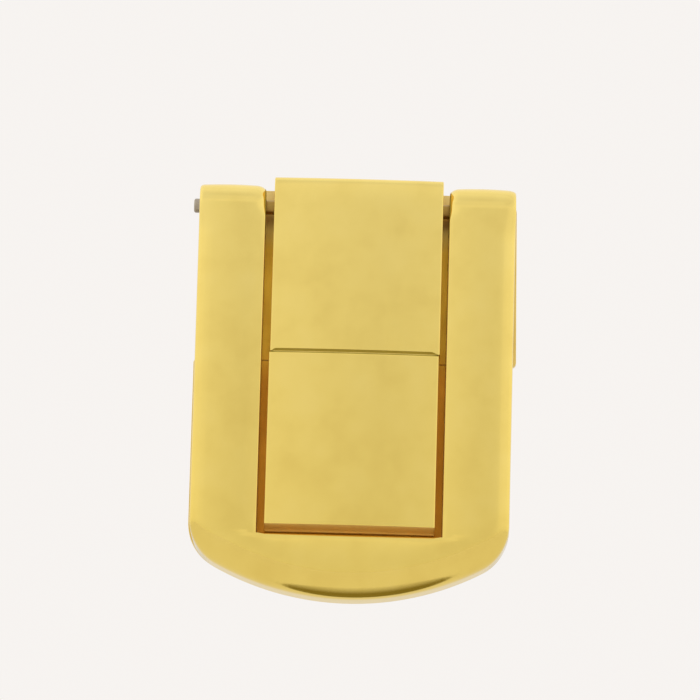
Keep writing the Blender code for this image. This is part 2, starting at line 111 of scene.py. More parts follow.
PAINTED_SHADE_REACH = 0.6 * MM  # how far the painted shade beside the pin reaches into the knuckles' inner rounding
RIM_CHAMFER = 0.1 * MM
PIN_BORE = 0.83 * MM
ROUND_STEPS = 14
FACE_STEPS = 14
BEVEL_STEPS = 6

# Blocks
LID_BLOCK_TOP_ROUND = 0.8 * MM
BODY_BLOCK_TOP_ROUND = 0.14 * MM
BODY_BLOCK_BOTTOM_ROUND = (0.5 * MM, 1.9 * MM)  # its height and its depth
BLOCK_SIDE_BEVEL = 0.10 * MM
BLOCK_CROWN = 0.25 * MM
BLOCK_TOP_EASE = (2.6 * MM, 0.12 * MM)  # how far down the lid block's face leans back, and by how much
GROOVE_DEPTH = 0.29 * MM
GROOVE_EDGE = 0.04 * MM
GROOVE_RUN_OUT_LEFT = 0.5 * MM
GROOVE_RUN_OUT_RIGHT = 0.8 * MM

# Plates
PLATE_EDGE_ROUND = 0.05 * MM
LID_PLATE_TOP_CORNER = 1.8 * MM
LID_PLATE_TAPER = 0.25 * MM
PLATE_CORNER = 0.4 * MM
HOLE_CLEARANCE = 0.1 * MM
CUTTER_OVERRUN = 0.5 * MM  # how far a hole's cutter stands out of the plate
RIVET_RADIUS = 1.0 * MM
RIVET_TAIL_RADIUS = 1.6 * MM
RIVET_TAIL_DEPTH = 0.6 * MM
CLIP_RIVET_RADIUS = 0.6 * MM
CLIP_RIVET_TAIL_RADIUS = 1.0 * MM
CLIP_RIVET_TAIL_DEPTH = 0.5 * MM

# The slits between the blocks and the arms, where the painted light behind them goes: where their middles
# lie, and how far they reach to each side
SLIT_X = 9.25 * MM
SLIT_REACH = 0.6 * MM

# Pin and screws
PIN_END_ROUND = 0.22 * MM
SCREW_SHANK_RADIUS = 0.78 * MM
SCREW_THREAD_RADIUS = 1.0 * MM
SCREW_CONE_DEPTH = 0.85 * MM
SCREW_RIM = 0.12 * MM
SCREW_PITCH = 0.8 * MM
SCREW_TAPER = 1.8 * MM
SLOT_WIDTH = 0.45 * MM
SLOT_DEPTH = 0.4 * MM
SCREW_TIP_RADIUS = 0.04 * MM
FIRST_SCREW_TURN, NEXT_SCREW_TURN = 17, 137.5  # in degrees

# Snap
STUD_EDGE = 0.1 * MM
STUD_NECK_RADIUS = 0.65 * MM
STUD_BULB_RADIUS = 1.05 * MM
CLIP_SHEET = 0.25 * MM
CLIP_BEND_RADIUS = 0.35 * MM
CLIP_WAIST = 0.30 * MM  # how far a prong leans in where it grips
CLIP_SIDE_ROOM = 0.1 * MM

# Materials
CLOUD_STOPS = (0.25, 0.5, 0.78)  # where a metal's dull, usual and bright colours lie in its clouds

# The tent's level straight in front and all round, and then its changes: the direction of each, how many
# degrees it reaches, and the change
TENT_FRONT = ((0.055, -0.977, 0.208), 12.0, 0.918, 1.045)
TENT_CHANGES = [
    ((0.0, 1.0, 0.1), 45.0, -0.18),
    ((1.0, 0.2, 0.0), 55.0, 0.09),
    ((-1.0, 0.2, 0.0), 55.0, 0.05),
    ((0.0, -0.6, 0.8), 50.0, -0.28),
    ((0.0, 0.0, -1.0), 110.0, -0.94),
    ((0.03, -1.0, 0.0), 16.0, -0.07),
    ((-0.27, -1.0, 0.0), 18.0, -0.03),
    ((0.33, -1.0, 0.0), 18.0, -0.03),
]
TENT_COOL_TOP = ((0.0, -0.3, 1.0), 80.0)
WARM_LOW, COOL_HIGH = (1.0, 0.985, 0.965), (0.97, 0.98, 1.07)

# Camera and set
VIEW_DISTANCE = 0.600
VIEW_ELEVATION = math.radians(-12.0)
VIEW_ROLL = math.radians(1.56)
VIEW_WIDTH = 72.9 * MM  # what the frame's width takes in, at the blocks' faces
VIEW_AIM = Vector((-0.417 * MM, LID_BLOCK_LOW.y, PARTING_Z + 0.25 * MM))
SENSOR = 36.0
FLOOR_Z = -0.60
FLOOR_SIZE = 40.0
FLOOR_COLOUR = (0.84, 0.825, 0.81)
FLAG_CENTRE = Vector((0.020, 0.015, -0.20))
FLAG_SIZE = (0.080, 0.140)
FLAG_COLOUR = (0.234, 0.193, 0.055)
BACKDROP_COLOUR = (0.93, 0.90, 0.875)
SOFTBOX_PLACE = (-0.3, -0.5, 1.2)
SOFTBOX_SIZE = (1.6, 1.2)
SOFTBOX_POWER = 0.4


# ---------------------------------------------------------------- meshes


def smoothstep(value):
    value = min(1.0, max(0.0, value))
    return value * value * (3 - 2 * value)


def mixed(first, second, share):
    return first + (second - first) * share


def quarter_round(size, steps):
    """A quarter circle as (1 - sine, 1 - cosine) times its size, from the one axis to the other."""
    angles = [math.pi / 2 * step / steps for step in range(steps + 1)]
    return [(size * (1 - math.sin(angle)), size * (1 - math.cos(angle))) for angle in angles]


def finish_mesh(name, mesh_data, sharp_degrees=SHARP_DEGREES):
    """Turns a bmesh into a linked, smooth-shaded object whose flat faces stay flat."""
    bmesh.ops.recalc_face_normals(mesh_data, faces=mesh_data.faces[:])
    mesh = bpy.data.meshes.new(name)
    mesh_data.to_mesh(mesh)
    mesh_data.free()
    mesh.shade_smooth()
    mesh.set_sharp_from_angle(angle=math.radians(sharp_degrees))
    made = bpy.data.objects.new(name, mesh)
    bpy.context.scene.collection.objects.link(made)
    return made


def loft(rings, closed=True):
    """A solid through rings of equally many points: capped at both ends, or else joined end to end."""
    solid = bmesh.new()
    rows = [[solid.verts.new(point) for point in ring] for ring in rings]
    count = len(rows[0])
    pairs = list(zip(rows, rows[1:]))
    if not closed:
        pairs.append((rows[-1], rows[0]))
    for near, far in pairs:
        for i in range(count):
            j = (i + 1) % count
            solid.faces.new((near[i], near[j], far[j], far[i]))
    if closed:
        solid.faces.new(rows[0])
        solid.faces.new(reversed(rows[-1]))
    return solid


def turned(profile, centre, direction, segments=72):
    """A solid turned about a line along X or Y, from (distance along it, radius) points off the axis."""
    rings = []
    for along, radius in profile:
        ring = []
        for step in range(segments):
            angle = 2 * math.pi * step / segments
            first, second = -radius * math.cos(angle), radius * math.sin(angle)
            if direction == "X":
                ring.append((along, centre[0] + first, centre[1] + second))
            else:
                ring.append((centre[0] + first, along, centre[1] + second))
        rings.append(ring)
    return loft(rings)


def combine(target, others, operation):
    """Cuts some other objects out of a target, or joins them to it, and removes them."""
    for other in others:
        modifier = target.modifiers.new(other.name, "BOOLEAN")
        modifier.operation = operation
        modifier.solver = "EXACT"
        modifier.object = other
    apply_modifiers(target)
    for other in others:
        bpy.data.objects.remove(other, do_unlink=True)


def apply_modifiers(target):
    depsgraph = bpy.context.evaluated_depsgraph_get()
    result = bpy.data.meshes.new_from_object(target.evaluated_get(depsgraph))
    target.modifiers.clear()
    target.data = result
    result.shade_smooth()
    result.set_sharp_from_angle(angle=math.radians(SHARP_DEGREES))


def bore_for_pin(target, half_width):
    """Bores a piece for the hinge pin, right across."""
    reach = 2 * half_width
    bore = finish_mesh("bore", turned([(-reach, PIN_BORE), (reach, PIN_BORE)], HINGE.yz, "X", 48))
    combine(target, [bore], "DIFFERENCE")


def weigh_normals(target):
    """Keeps large flat faces flat where they meet small bevels."""
    modifier = target.modifiers.new("weighted_normals", "WEIGHTED_NORMAL")
    modifier.weight = 80
    modifier.keep_sharp = True


def arc(centre, radius, start_degrees, end_degrees, steps):
    """An arc's points as (x, z, outward x, outward z), both ends included."""
    points = []
    for step in range(steps + 1):
        angle = math.radians(mixed(start_degrees, end_degrees, step / steps))
        out_x, out_z = math.cos(angle), math.sin(angle)
        points.append((centre[0] + radius * out_x, centre[1] + radius * out_z, out_x, out_z))
    return points


def rounded_end(half_width, bottom, corner, bottom_arc, corner_steps, bottom_steps):
    """The catch's lower outline from its right side round to its left: two corners and one wide arc."""
    corner_x = half_width - corner
    rise = math.sqrt((bottom_arc - corner) ** 2 - corner_x**2)
    arc_z = bottom + bottom_arc
    corner_z = arc_z - rise
    turn = math.degrees(math.atan2(rise, corner_x))
    right = arc((corner_x, corner_z), corner, 0, -turn, corner_steps)
    middle = arc((0, arc_z), bottom_arc, -turn, turn - 180, bottom_steps)
    left = arc((-corner_x, corner_z), corner, turn - 180, -180, corner_steps)
    return right + middle[1:-1] + left


# ---------------------------------------------------------------- lever


def round_over(share, size, squareness):
    """A point of an edge's rounding as (inset, depth), from the side wall (0) to the face (1)."""
    angle = math.pi / 2 * share
    power = 2 / squareness
    return size[0] * (1 - max(0.0, math.cos(angle)) ** power), size[1] * (1 - math.sin(angle) ** power)


def mixed_size(first, second, share):
    return mixed(first[0], second[0], share), mixed(first[1], second[1], share)


def crown_drop(share):
    """How far the lever's face lies behind its crest, by the share of the way across an arm or the bar."""
    return LEVER_CROWN * (2 * share - 1) ** 2


def outer_knuckle_round(side):
    return KNUCKLE_LEFT_ROUND if side < 0 else KNUCKLE_RIGHT_ROUND


def lever_path():
    """Rows of the lever from the right arm's top, down, along the bottom and up to the left arm's top.

    Each row is its outer point, its outward direction, its point on the window's edge and the direction
    from the metal into the window there.
    """
    end = rounded_end(LEVER_HALF_WIDTH, LEVER_LOW.z, LEVER_CORNER, LEVER_BOTTOM_ARC, 22, 64)
    side_top, side_bottom = HINGE.z, end[0][1]
    blend_steps, side_steps = 14, 22
    heights = [side_top - KNUCKLE_OUTER_BLEND * step / blend_steps for step in range(blend_steps)]
    low = side_top - KNUCKLE_OUTER_BLEND
    heights += [mixed(low, side_bottom, step / side_steps) for step in range(side_steps)]
    outer = [(LEVER_HALF_WIDTH, z, 1.0, 0.0) for z in heights] + end
    outer += [(-LEVER_HALF_WIDTH, z, -1.0, 0.0) for z in reversed(heights)]
    corner_row = next(i for i, point in enumerate(outer) if point[1] < WINDOW_BOTTOM)
    last_row = len(outer) - 1 - corner_row
    lengths = [0.0]
    for i in range(corner_row, last_row):
        step = math.hypot(outer[i + 1][0] - outer[i][0], outer[i + 1][1] - outer[i][1])
        lengths.append(lengths[-1] + step)
    rows = []
    for i, point in enumerate(outer):
        if i < corner_row:
            window, into = (WINDOW_HALF_WIDTH, point[1]), (-1.0, 0.0)
        elif i > last_row:
            window, into = (-WINDOW_HALF_WIDTH, point[1]), (1.0, 0.0)
        else:
            share = lengths[i - corner_row] / lengths[-1]
            window = (mixed(WINDOW_HALF_WIDTH, -WINDOW_HALF_WIDTH, share), WINDOW_BOTTOM)
            into = (-1.0 if i == corner_row else 1.0 if i == last_row else 0.0, 1.0)
        rows.append((point[:2], point[2:], window, into))
    return rows


def lever_section(row):
    """One closed section of the lever's shell: outer wall, face, window wall, and back through the pocket."""
    (x, z), (out_x, out_z), (window_x, window_z), (into_x, into_z) = row
    bottom_share = smoothstep(-out_z)
    near_top = smoothstep(1 - (HINGE.z - z) / KNUCKLE_OUTER_BLEND)
    side_round = mixed_size(SIDE_ROUND, outer_knuckle_round(out_x), near_top)
    edge = mixed_size(side_round, BOTTOM_ROUND, bottom_share)
    squareness = mixed(SIDE_SQUARENESS, BOTTOM_SQUARENESS, bottom_share)
    near_knuckle = smoothstep(1 - (HINGE.z - z) / KNUCKLE_INNER_BLEND)
    bevel = mixed_size(WINDOW_BEVEL, KNUCKLE_INNER_ROUND, near_knuckle)
    along_bottom = (WINDOW_HALF_WIDTH - abs(window_x)) / WINDOW_BOTTOM_BLEND if into_z else 0.0
    bevel = mixed_size(bevel, WINDOW_BOTTOM_BEVEL, smoothstep(along_bottom))
    back = mixed(RIM_BACK, KNUCKLE_BACK - RIM_CHAMFER, near_top)
    width = math.hypot(x - window_x, z - window_z)
    inside = LEVER_FRONT + LEVER_WALL
    points = []

    def rim_point(inset, y):
        points.append((x - out_x * inset, y, z - out_z * inset))

    def window_point(inset, y):
        points.append((window_x - into_x * inset, y, window_z - into_z * inset))

    wall_front = LEVER_FRONT + crown_drop(0) + edge[1]
    rim_point(RIM_CHAMFER, back)
    rim_point(0.0, back - RIM_CHAMFER)
    wall_steps = 6
    for step in range(1, wall_steps):
        rim_point(0.0, mixed(back - RIM_CHAMFER, wall_front, step / wall_steps))
    for step in range(ROUND_STEPS + 1):
        inset, depth = round_over(step / ROUND_STEPS, edge, squareness)
        rim_point(inset, LEVER_FRONT + crown_drop(inset / width) + depth)
    face_start = Vector((x - out_x * edge[0], z - out_z * edge[0]))
    face_end = Vector((window_x - into_x * bevel[0], window_z - into_z * bevel[0]))
    start_share, end_share = edge[0] / width, 1 - bevel[0] / width
    for step in range(1, FACE_STEPS):
        share = step / FACE_STEPS
        across = face_start.lerp(face_end, share)
        drop = crown_drop(mixed(start_share, end_share, share))
        points.append((across.x, LEVER_FRONT + drop, across.y))
    for step in range(BEVEL_STEPS + 1):
        inset, depth = round_over(1 - step / BEVEL_STEPS, bevel, 2)
        window_point(inset, LEVER_FRONT + crown_drop(1 - inset / width) + depth)
    window_back = back - RIM_CHAMFER
    wall_start = LEVER_FRONT + crown_drop(1) + bevel[1]
    for step in (1, 2, 3):
        window_point(0.0, mixed(wall_start, window_back - RIM_CHAMFER, step / 3))
    window_point(RIM_CHAMFER, window_back)
    window_point(WINDOW_RIM - RIM_CHAMFER, window_back)
    window_point(WINDOW_RIM, window_back - RIM_CHAMFER)
    window_point(WINDOW_RIM, inside)
    inner_round = mixed(INNER_ROUND, BOTTOM_ROUND[1] - LEVER_WALL, bottom_share)
    pocket_inset = LEVER_WALL + inner_round
    pocket_edge = Vector((x - out_x * pocket_inset, z - out_z * pocket_inset))
    start = Vector((window_x - into_x * WINDOW_RIM, window_z - into_z * WINDOW_RIM))
    for step in (1, 2, 3):
        under = start.lerp(pocket_edge, step / 4)
        points.append((under.x, inside, under.y))
    for step in range(5):
        inset, depth = round_over(1 - step / 4, (inner_round, inner_round), 2)
        rim_point(LEVER_WALL + inset, inside + depth)
    rim_point(LEVER_WALL, back)
    return points


def knuckle(side):
    """A knuckle whose ends and face carry on from the top of its arm."""
    width = LEVER_HALF_WIDTH - WINDOW_HALF_WIDTH
    edge = outer_knuckle_round(side)
    core = 0.3 * PIN_BORE
    profile = [(side * LEVER_HALF_WIDTH, core)]
    for step in range(ROUND_STEPS + 1):
        inset, depth = round_over(step / ROUND_STEPS, edge, SIDE_SQUARENESS)
        radius = KNUCKLE_RADIUS - crown_drop(inset / width) - depth
        profile.append((side * (LEVER_HALF_WIDTH - inset), radius))
    start_share, end_share = edge[0] / width, 1 - KNUCKLE_INNER_ROUND[0] / width
    for step in range(1, FACE_STEPS):
        share = mixed(start_share, end_share, step / FACE_STEPS)
        profile.append((side * (LEVER_HALF_WIDTH - share * width), KNUCKLE_RADIUS - crown_drop(share)))
    for step in range(BEVEL_STEPS + 1):
        inset, depth = round_over(1 - step / BEVEL_STEPS, KNUCKLE_INNER_ROUND, 2)
        radius = KNUCKLE_RADIUS - crown_drop(1 - inset / width) - depth
        profile.append((side * (WINDOW_HALF_WIDTH + inset), radius))
    profile.append((side * WINDOW_HALF_WIDTH, core))
    solid = turned(profile, HINGE.yz, "X", 96)
    if side > 0:
        stretch = 1 + KNUCKLE_RIGHT_RISE / KNUCKLE_RADIUS
        for vertex in solid.verts:
            vertex.co.z = HINGE.z + (vertex.co.z - HINGE.z) * (stretch if vertex.co.z > HINGE.z else 1)
    return finish_mesh("knuckle", solid)


def lever_finish_and_painted_light(polygon):
    """Polished, but unbuffed with painted warm bounce light on the window's side walls and in the pocket, and
    painted shade beside the pin.
    """
    centre, normal = polygon.center, polygon.normal
    turns_inward = abs(centre.x) < WINDOW_HALF_WIDTH + PAINTED_SHADE_REACH and abs(normal.x) > 0.7
    # painted shade on the knuckles' inner ends beside the pin
    if turns_inward and centre.z > HINGE.z - 1.3 * KNUCKLE_RADIUS:
        return PAINTED_SHADE_FACE
    side_wall = abs(abs(centre.x) - WINDOW_HALF_WIDTH) < 0.02 * MM and abs(normal.x) > 0.9
    behind = centre.y > LEVER_FRONT + 0.9 * LEVER_WALL and normal.y > -0.2
    below_knuckle = centre.z < HINGE.z - 0.9 * KNUCKLE_RADIUS
    rim = 2 * WINDOW_RIM
    beyond_rim = abs(centre.x) > WINDOW_HALF_WIDTH + rim or centre.z < WINDOW_BOTTOM - rim
    outward = normal.x * centre.x + normal.z * (centre.z - WINDOW_BOTTOM)
    outer_wall = beyond_rim and outward > 0.3 * LEVER_CORNER
    in_pocket = behind and below_knuckle and not outer_wall
    return UNBUFFED_BOUNCE_LIT_FACE if side_wall or in_pocket else POLISHED_FACE


def make_lever():
    shell = finish_mesh("drop_lever_shell", loft([lever_section(row) for row in lever_path()]))
    combine(shell, [knuckle(-1), knuckle(1)], "UNION")
    bore_for_pin(shell, LEVER_HALF_WIDTH)
    weigh_normals(shell)
    return shell


# ---------------------------------------------------------------- blocks


def groove_share(x, half_width):
    """How deep the groove at the parting line is: it runs out just before the block's sides."""
    from_left = (x + half_width - BLOCK_SIDE_BEVEL) / GROOVE_RUN_OUT_LEFT
    from_right = (half_width - BLOCK_SIDE_BEVEL - x) / GROOVE_RUN_OUT_RIGHT
    return smoothstep(from_left) * smoothstep(from_right)


def block_stations(half_width):
    """Places across a block with their inset, close together where its edges and the groove's ends turn."""
    bevel = quarter_round(BLOCK_SIDE_BEVEL, 4)
    stations = [(-half_width + along, inset) for inset, along in bevel]
    fine, fine_step = 8, 0.1 * MM
    stations += [(-half_width + BLOCK_SIDE_BEVEL + fine_step * (step + 1), 0.0) for step in range(fine)]
    inner = half_width - BLOCK_SIDE_BEVEL - fine_step * fine
    middle_steps = 24
    middle = [(mixed(-inner, inner, step / middle_steps), 0.0) for step in range(1, middle_steps)]
    return stations + middle + [(-x, inset) for x, inset in reversed(stations)]


def block_section(x, inset, low, high, top_round, bottom_round, top_ease=(0.0, 0.0)):
    """A block's section at one place across it, measured from its middle, as a ring of (x, y, z) points."""
    half_width, middle = (high.x - low.x) / 2, (high.x + low.x) / 2
    front = low.y + BLOCK_CROWN * (x / half_width) ** 2 + inset
    back = high.y
    top, bottom = high.z - inset, low.z + inset
    steps, face_steps = 8, 16

    def eased(y, z):
        height, lean = top_ease
        return y + lean * max(0.0, 1 - (high.z - z) / height) ** 2 if height else y

    profile = [(back, top)]
    for depth, fall in quarter_round(top_round, steps):
        profile.append((eased(front + depth, top - fall), top - fall))
    for step in range(1, face_steps):
        share = step / face_steps
        crowded = share * share * (1.5 - 0.5 * share)  # closer together towards the top, where it leans
        z = mixed(top - top_round, bottom + bottom_round[0], crowded)
        profile.append((eased(front, z), z))
    for step in range(steps + 1):
        height, depth = round_over(step / steps, bottom_round, 2)
        profile.append((front + bottom_round[1] - depth, bottom + bottom_round[0] - height))
    profile.append((back, bottom))
    return [(x + middle, y, z) for y, z in profile]


def block_finish_and_painted_light(polygon):
    """Polished, but painted shade in the groove, and unbuffed with painted warm bounce light on the flanks
    and the body block's underside.
    """
    normal, height = polygon.normal, polygon.center.z - PARTING_Z
    # painted shade in the groove at the parting line
    if normal.y < -0.05 and abs(height) < MM and abs(normal.z) > 0.12:
        return PAINTED_SHADE_FACE
    underside = normal.z < -0.3 and height < 0
    return UNBUFFED_BOUNCE_LIT_FACE if abs(normal.x) > 0.9 or underside else POLISHED_FACE


def make_lid_block():
    low, high = LID_BLOCK_LOW, LID_BLOCK_HIGH
    half_width = (high.x - low.x) / 2
    rings = []
    for x, inset in block_stations(half_width):
        groove = mixed(GROOVE_EDGE, GROOVE_DEPTH, groove_share(x, half_width))
        edge = (groove, groove)
        rings.append(block_section(x, inset, low, high, LID_BLOCK_TOP_ROUND, edge, BLOCK_TOP_EASE))
    made = finish_mesh("lid_block_body", loft(rings), 40.0)
    bore_for_pin(made, half_width)
    weigh_normals(made)
    return made


def make_body_block():
    low, high = BODY_BLOCK_LOW, BODY_BLOCK_HIGH
    rings = []
    for x, inset in block_stations((high.x - low.x) / 2):
        rings.append(block_section(x, inset, low, high, BODY_BLOCK_TOP_ROUND, BODY_BLOCK_BOTTOM_ROUND))
    made = finish_mesh("body_block_body", loft(rings), 40.0)
    weigh_normals(made)
    return made


# ---------------------------------------------------------------- plates


def soft_prism(outline, front, back, edge):
    """A plate from an outline with its outward directions, its edges rounded over."""
    levels = quarter_round(edge, 4)
    profile = [(front + depth, inset) for inset, depth in levels]
    profile += [(back - depth, inset) for inset, depth in reversed(levels)]
    rings = []
    for y, inset in profile:
        rings.append([(x - out_x * inset, y, z - out_z * inset) for x, z, out_x, out_z in outline])
    return loft(rings)


def screw_hole(x, z, head_radius):
    """The cutter for a screw's hole: a cone open to the front, then a plain bore."""
    front = LID_PLATE_LOW.y
    profile = [
        (front - CUTTER_OVERRUN, head_radius + HOLE_CLEARANCE),
        (front + SCREW_RIM, head_radius + HOLE_CLEARANCE),
        (front + SCREW_CONE_DEPTH + SCREW_RIM, SCREW_THREAD_RADIUS + HOLE_CLEARANCE),
        (CUTTER_OVERRUN, SCREW_THREAD_RADIUS + HOLE_CLEARANCE),
    ]
    return finish_mesh("screw_hole", turned(profile, (x, z), "Y", 48))


def rivet_hole(x, z, radius, tail_radius, tail_depth):
    """The cutter for a rivet's hole: a plain bore, then a cone open to the back."""
    profile = [
        (2 * LID_PLATE_LOW.y, radius + HOLE_CLEARANCE),
        (-tail_depth, radius + HOLE_CLEARANCE),
        (-0.05 * MM, tail_radius + HOLE_CLEARANCE),
        (CUTTER_OVERRUN, tail_radius + HOLE_CLEARANCE),
    ]
    return finish_mesh("rivet_hole", turned(profile, (x, z), "Y", 48))


def centre_of(node):
    low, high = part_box(node)
    return (low + high) / 2


def plate_cutters(half_name):
    """Cutters for the screw and rivet holes of one half's plate."""
    cutters = []
    for node in frame["nodes"]:
        middle = centre_of(node)
        if node.startswith(half_name + "_screw"):
            low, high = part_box(node)
            cutters.append(screw_hole(middle.x, middle.z, (high.x - low.x) / 2))
        if node.startswith(half_name + "_rivet"):
            cutters.append(rivet_hole(middle.x, middle.z, RIVET_RADIUS, RIVET_TAIL_RADIUS, RIVET_TAIL_DEPTH))
    return cutters


def make_lid_plate():
    low, high = LID_PLATE_LOW, LID_PLATE_HIGH
    top, foot = LID_PLATE_TOP_CORNER, PLATE_CORNER
    outline = arc((high.x - LID_PLATE_TAPER - top, high.z - top), top, 0, 90, 16)
    outline += arc((low.x + LID_PLATE_TAPER + top, high.z - top), top, 90, 180, 16)
    outline += arc((low.x + foot, low.z + foot), foot, 180, 270, 8)
    outline += arc((high.x - foot, low.z + foot), foot, 270, 360, 8)
    made = finish_mesh("lid_back_plate", soft_prism(outline, low.y, high.y, PLATE_EDGE_ROUND))
    combine(made, plate_cutters("lid"), "DIFFERENCE")
    weigh_normals(made)
    return made


def make_body_plate():
    low, high = BODY_PLATE_LOW, BODY_PLATE_HIGH
    half_width, middle = (high.x - low.x) / 2, (high.x + low.x) / 2
    outline = rounded_end(half_width, low.z, LEVER_CORNER, LEVER_BOTTOM_ARC, 18, 40)
    outline = [(x + middle, z, out_x, out_z) for x, z, out_x, out_z in outline]
    outline += arc((low.x + PLATE_CORNER, high.z - PLATE_CORNER), PLATE_CORNER, 180, 90, 8)
    outline += arc((high.x - PLATE_CORNER, high.z - PLATE_CORNER), PLATE_CORNER, 90, 0, 8)
    made = finish_mesh("body_back_plate", soft_prism(outline, low.y, high.y, PLATE_EDGE_ROUND))
    clip = centre_of("clip_rivet")
    clip_hole = rivet_hole(clip.x, clip.z, CLIP_RIVET_RADIUS, CLIP_RIVET_TAIL_RADIUS, CLIP_RIVET_TAIL_DEPTH)
    combine(made, [*plate_cutters("body"), clip_hole], "DIFFERENCE")
    weigh_normals(made)
    return made


# ---------------------------------------------------------------- hinge, screws and snap


def rounded_rod(start, end, radius, edge, steps=5):
    """A rod's (distance, radius) profile with rounded ends."""
    near = [(start, 0.15 * radius)]
    near += [(start + along, radius - fall) for along, fall in reversed(quarter_round(edge, steps))]
    return near + [(start + end - along, size) for along, size in reversed(near)]


def make_pin():
    profile = rounded_rod(PIN_LOW.x, PIN_HIGH.x, (PIN_HIGH.z - PIN_LOW.z) / 2, PIN_END_ROUND)
    return finish_mesh("hinge_pin_wire", turned(profile, HINGE.yz, "X"))


def screw_mesh(low, high):
    """A countersunk wood screw, threaded and tapered to its point, with a driver slot, about its own axis."""
    head_radius = (high.x - low.x) / 2
    top, tip = low.y, high.y
    thread_start = top + SCREW_RIM + SCREW_CONE_DEPTH + 0.5 * SCREW_PITCH
    segments, rows_per_turn = 32, 10
    rings = []

    def add_ring(y, radii):
        ring = []
        for step in range(segments):
            angle = 2 * math.pi * step / segments
            ring.append((radii[step] * math.cos(angle), y, radii[step] * math.sin(angle)))
        rings.append(ring)

    head = [(top, 0.96), (top + 0.03 * MM, 0.99), (top + 0.06 * MM, 1.0), (top + SCREW_RIM, 1.0)]
    for y, share in head:
        add_ring(y, [head_radius * share] * segments)
    add_ring(top + SCREW_RIM + SCREW_CONE_DEPTH, [SCREW_SHANK_RADIUS] * segments)
    rows = int((tip - thread_start) / SCREW_PITCH * rows_per_turn)
    for row in range(rows + 1):
        y = mixed(thread_start, tip, row / rows)
        taper = min(1.0, (tip - y) / SCREW_TAPER)
        grown = smoothstep((y - thread_start) / SCREW_PITCH)
        core = mixed(SCREW_TIP_RADIUS, SCREW_SHANK_RADIUS, taper)
        ridge = (SCREW_THREAD_RADIUS - SCREW_SHANK_RADIUS) * grown * min(1.0, 1.4 * taper)
        radii = []
        for step in range(segments):
            turn = (y / SCREW_PITCH - step / segments) % 1.0
            radii.append(core + ridge * max(0.0, 1 - abs(turn - 0.5) / 0.3))
        add_ring(y, radii)
    blank = finish_mesh("screw_blank", loft(rings), 50.0)
    reach = 2 * head_radius
    side = SLOT_WIDTH / 2
    slot = [(-reach, -side), (reach, -side), (reach, side), (-reach, side)]
    slot_rings = [[(x, y, z) for x, z in slot] for y in (top - MM, top + SLOT_DEPTH)]
    combine(blank, [finish_mesh("slot", loft(slot_rings))], "DIFFERENCE")
    mesh = blank.data
    bpy.data.objects.remove(blank, do_unlink=True)
    return mesh


def make_screws():
    """The eight screws share one mesh; each stopped at its own angle when it was driven home."""
    nodes = sorted(node for node in frame["nodes"] if "_screw_" in node)
    mesh = screw_mesh(*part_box(nodes[0]))
    screws = []
    for index, node in enumerate(nodes):
        middle = centre_of(node)
        made = bpy.data.objects.new(node + "_threaded", mesh)
        turn = math.radians(FIRST_SCREW_TURN + NEXT_SCREW_TURN * index)
        made.matrix_world = Matrix.Translation((middle.x, 0, middle.z)) @ Matrix.Rotation(turn, 4, "Y")
        bpy.context.scene.collection.objects.link(made)
        screws.append((made, node))
    return screws


def make_stud():
    """The stud under the bottom bar: flange, waisted neck and round bulb."""
    centre = centre_of("snap_stud")
    flange = (STUD_HIGH.x - STUD_LOW.x) / 2
    start, end = STUD_LOW.y, STUD_HIGH.y
    edge, neck, bulb = STUD_EDGE, STUD_NECK_RADIUS, STUD_BULB_RADIUS
    profile = [(start, flange - edge), (start + edge, flange)]
    profile += [(start + 0.3 * MM, flange), (start + 0.4 * MM, flange - edge)]
    profile += [(start + 0.42 * MM, neck + 0.15 * MM), (start + 0.55 * MM, neck + 0.03 * MM)]
    profile.append((start + 0.75 * MM, neck))
    bulb_start = start + 1.45 * MM
    profile.append((bulb_start - 0.15 * MM, neck))
    steps = 14
    for step in range(steps + 1):
        share = step / steps
        swell = math.sin(math.pi * mixed(0.24, 0.93, share))
        profile.append((mixed(bulb_start, end, share), bulb * swell))
    return finish_mesh("snap_stud_turned", turned(profile, (centre.x, centre.z), "Y", 64))


def clip_centreline(half_width, back, front):
    """One prong's centreline from the base's middle: a tight bend, the waist that grips, a flared lip."""
    depth = back - front
    turn = CLIP_BEND_RADIUS
    grip = half_width - CLIP_WAIST
    points = [(0.0, back), (0.45 * half_width, back), (half_width - turn, back)]
    bend_steps = 6
    for step in range(1, bend_steps + 1):
        angle = math.pi / 2 * step / bend_steps
        points.append((half_width - turn + turn * math.sin(angle), back - turn * (1 - math.cos(angle))))
    steps = 16
    for step in range(1, steps + 1):
        share = step / steps
        lean = 0.5 - 0.5 * math.cos(2 * math.pi * min(1.0, share / 0.92) ** 1.3)
        x = mixed(half_width, grip, lean)
        points.append((x, mixed(back - turn, back - depth, share)))
    return points


